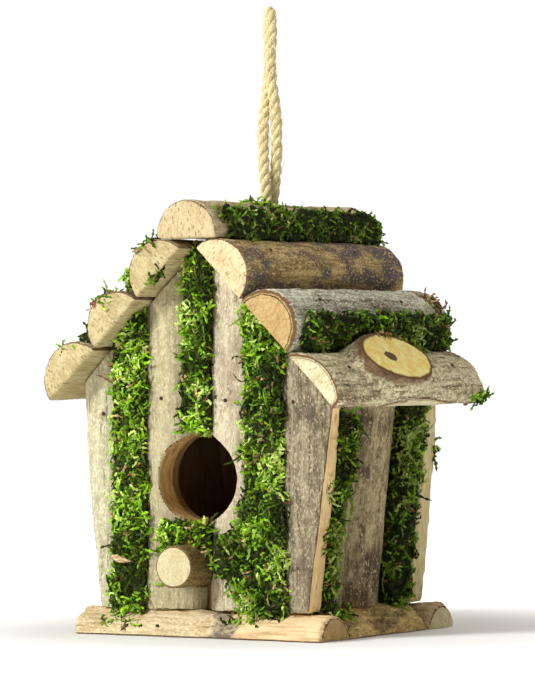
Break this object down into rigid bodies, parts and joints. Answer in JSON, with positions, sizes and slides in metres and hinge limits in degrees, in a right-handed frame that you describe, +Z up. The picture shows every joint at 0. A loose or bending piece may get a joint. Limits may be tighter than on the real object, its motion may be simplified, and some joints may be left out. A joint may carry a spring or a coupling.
{
  "type": "hanging birdhouse",
  "caption": "Small hanging birdhouse: a leaning-walled wooden box clad in split bark-on logs, with a log gable roof, round entrance, stub perch, moss in its joints and a rope loop.",
  "frame": {"origin": "under the middle of the house's bounding box, on the surface that it stands on", "axes": "+Z up, along the rope; +X to the right as seen from the front; +Y from the entrance to the back"},
  "size_m": [0.1513, 0.14, 0.2701],
  "materials": {
    "wall_bark": "dry smooth bark over split branches, sawn ends",
    "roof_bark": "dry smooth bark with sawn pale ends",
    "base_bark": "partly peeled branches",
    "perch_wood": "sawn branch stub",
    "plywood": "raw thin board",
    "rope": "pale twisted sisal",
    "moss": "curly preserved moss",
    "brad_steel": "dulled small heads"
  },
  "bodies": {
    "house": {"back_panel": "plywood", "back_slat_1": "wall_bark", "back_slat_2": "wall_bark", "back_slat_3": "wall_bark", "back_slat_4": "wall_bark", "base_brads": "brad_steel", "base_log_back": "base_bark", "base_log_front": "base_bark", "base_log_left": "base_bark", "base_log_right": "base_bark", "floor_board": "plywood", "front_panel": "plywood", "front_slat_1": "wall_bark", "front_slat_2": "wall_bark", "front_slat_3": "wall_bark", "front_slat_4": "wall_bark", "left_panel": "plywood", "left_slat_1": "wall_bark", "left_slat_2": "wall_bark", "left_slat_3": "wall_bark", "moss_back_1": "moss", "moss_back_2": "moss", "moss_back_3": "moss", "moss_front_left": "moss", "moss_front_middle": "moss", "moss_front_right": "moss", "moss_left_front": "moss", "moss_left_rear": "moss", "moss_perch": "moss", "moss_ridge": "moss", "moss_right_corner": "moss", "moss_right_joint": "moss", "moss_roof_left_lower": "moss", "moss_roof_left_upper": "moss", "moss_roof_right": "moss", "perch": "perch_wood", "ridge_log": "roof_bark", "right_panel": "plywood", "right_slat_1": "wall_bark", "right_slat_2": "wall_bark", "right_slat_3": "wall_bark", "roof_brads": "brad_steel", "roof_log_knot": "roof_bark", "roof_log_left_1": "roof_bark", "roof_log_left_2": "roof_bark", "roof_log_left_3": "roof_bark", "roof_log_right_1": "roof_bark", "roof_log_right_2": "roof_bark", "rope_knot": "rope", "wall_brads": "brad_steel"},
    "rope": {"hanging_rope": "rope"}
  },
  "joints": [
    {"name": "rope_swing", "type": "hinge", "parent": "house", "child": "rope", "pos_m": [-0.004, 0.001, 0.18758], "axis": [0, 1, 0], "range_deg": [-70, 70]}
  ]
}
